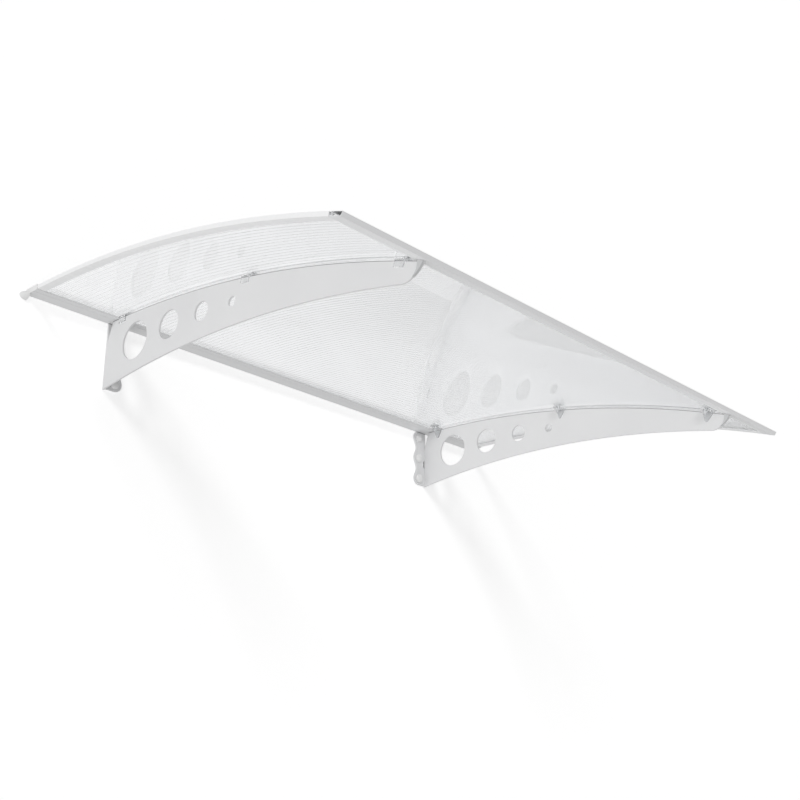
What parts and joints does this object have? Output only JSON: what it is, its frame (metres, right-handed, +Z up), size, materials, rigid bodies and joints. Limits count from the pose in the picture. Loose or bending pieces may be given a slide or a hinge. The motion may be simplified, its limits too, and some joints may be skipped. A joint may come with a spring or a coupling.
{
  "type": "door canopy",
  "caption": "Door canopy with an arched translucent twin-wall roof on white wall brackets pierced by round holes that shrink towards the front.",
  "frame": {"origin": "middle of the wall rail's back face, on the wall plane", "axes": "+X along the wall, +Y into the wall, +Z up; the canopy stands out from the wall towards -Y"},
  "size_m": [1.3806, 0.877, 0.1928],
  "materials": {
    "sheet": "clear twin-wall polycarbonate, glossy",
    "coat": "white powder coat, satin",
    "trim": "milky extruded plastic, satin",
    "plug": "white moulded plastic, satin",
    "pad": "grey rubber, matt",
    "clear": "clear moulded plastic",
    "steel": "plated"
  },
  "bodies": {
    "root": {"roof_sheet": "sheet", "wall_rail": "coat", "front_rail": "coat", "side_trim_left": "trim", "bracket_left": "coat", "rail_plug_left": "plug", "end_pad_left": "pad", "clip_left_1": "clear", "bolt_left_1": "steel", "washer_left_1": "pad", "nut_left_1": "steel", "wall_cap_left_1": "plug", "clip_left_2": "clear", "bolt_left_2": "steel", "washer_left_2": "pad", "nut_left_2": "steel", "wall_cap_left_2": "plug", "clip_left_3": "clear", "bolt_left_3": "steel", "washer_left_3": "pad", "nut_left_3": "steel", "wall_cap_left_3": "plug", "side_trim_right": "trim", "bracket_right": "coat", "rail_plug_right": "plug", "end_pad_right": "pad", "clip_right_1": "clear", "bolt_right_1": "steel", "washer_right_1": "pad", "nut_right_1": "steel", "wall_cap_right_1": "plug", "clip_right_2": "clear", "bolt_right_2": "steel", "washer_right_2": "pad", "nut_right_2": "steel", "wall_cap_right_2": "plug", "clip_right_3": "clear", "bolt_right_3": "steel", "washer_right_3": "pad", "nut_right_3": "steel", "wall_cap_right_3": "plug"}
  },
  "joints": []
}
